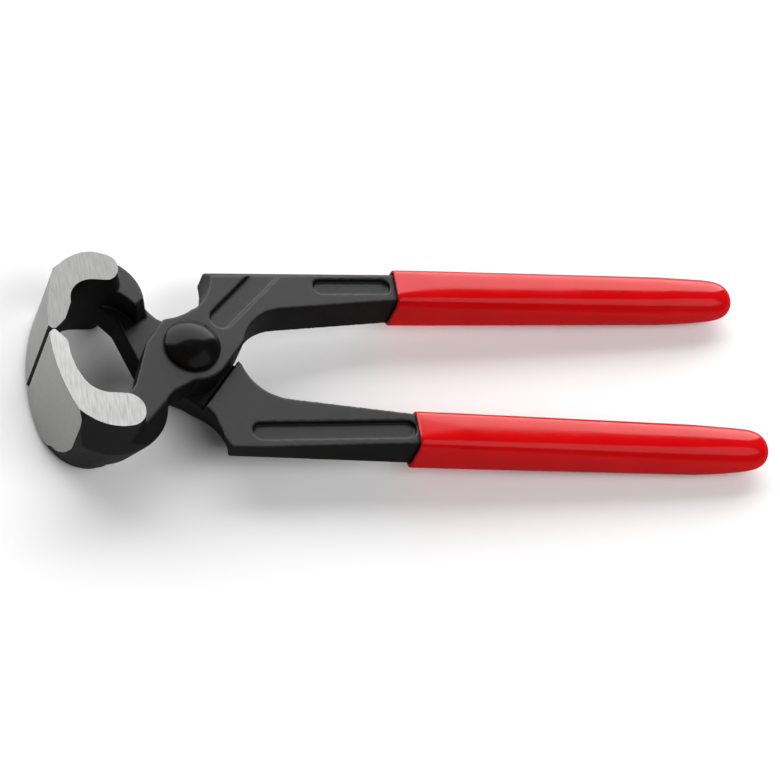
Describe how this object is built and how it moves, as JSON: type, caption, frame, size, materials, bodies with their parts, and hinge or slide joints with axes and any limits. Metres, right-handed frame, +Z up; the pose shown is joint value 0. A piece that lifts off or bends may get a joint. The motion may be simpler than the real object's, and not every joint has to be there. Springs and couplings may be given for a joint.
{
  "type": "end cutting nippers",
  "caption": "Forged end cutting nippers of the carpenter's pincer kind with lapped halves on a domed rivet and dipped red grips; the jaws open and close.",
  "frame": {"origin": "middle of the bottom of the closed nippers' bounding box, lying flat", "axes": "+X along the tool from the jaws to the ends of the grips, +Z up along the pivot axis, +Y toward the front half's handle"},
  "size_m": [0.16, 0.0492, 0.0225],
  "materials": {
    "forged_steel": "satin black phosphate on forged steel, jaws ground bright",
    "rivet_steel": "glossy black",
    "red_plastic": "glossy dipped plastic"
  },
  "bodies": {
    "rear": {"rear_half": "forged_steel", "rear_grip": "red_plastic"},
    "front": {"front_half": "forged_steel", "pivot_rivet": "rivet_steel", "front_grip": "red_plastic"}
  },
  "joints": [
    {"name": "jaw_pivot", "type": "hinge", "parent": "rear", "child": "front", "pos_m": [-0.04875, 0, 0.01125], "axis": [0, 0, 1], "range_deg": [0, 32]}
  ]
}
